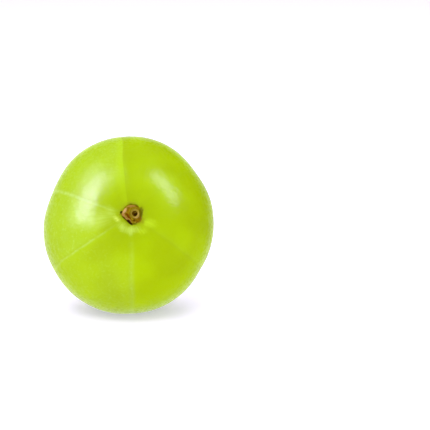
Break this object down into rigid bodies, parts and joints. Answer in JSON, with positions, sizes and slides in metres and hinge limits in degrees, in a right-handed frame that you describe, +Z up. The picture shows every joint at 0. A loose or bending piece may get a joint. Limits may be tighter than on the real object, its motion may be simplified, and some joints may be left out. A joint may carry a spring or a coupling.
{
  "type": "indian gooseberry",
  "caption": "Whole amla fruit: a pale green, slightly flattened globe with shallow furrows and a brown stem scar, lying on its side.",
  "frame": {"origin": "on the surface the fruit lies on, under the middle of its box", "axes": "+Z up; the stem end faces -Y, tilted 22 degrees up and turned 3 degrees towards +X"},
  "size_m": [0.039, 0.0364, 0.04],
  "materials": {
    "skin": "satin",
    "calyx": "matte",
    "stalk": "matte"
  },
  "bodies": {
    "root": {"fruit": "skin", "calyx_collar": "calyx", "stalk_stub": "stalk"}
  },
  "joints": []
}
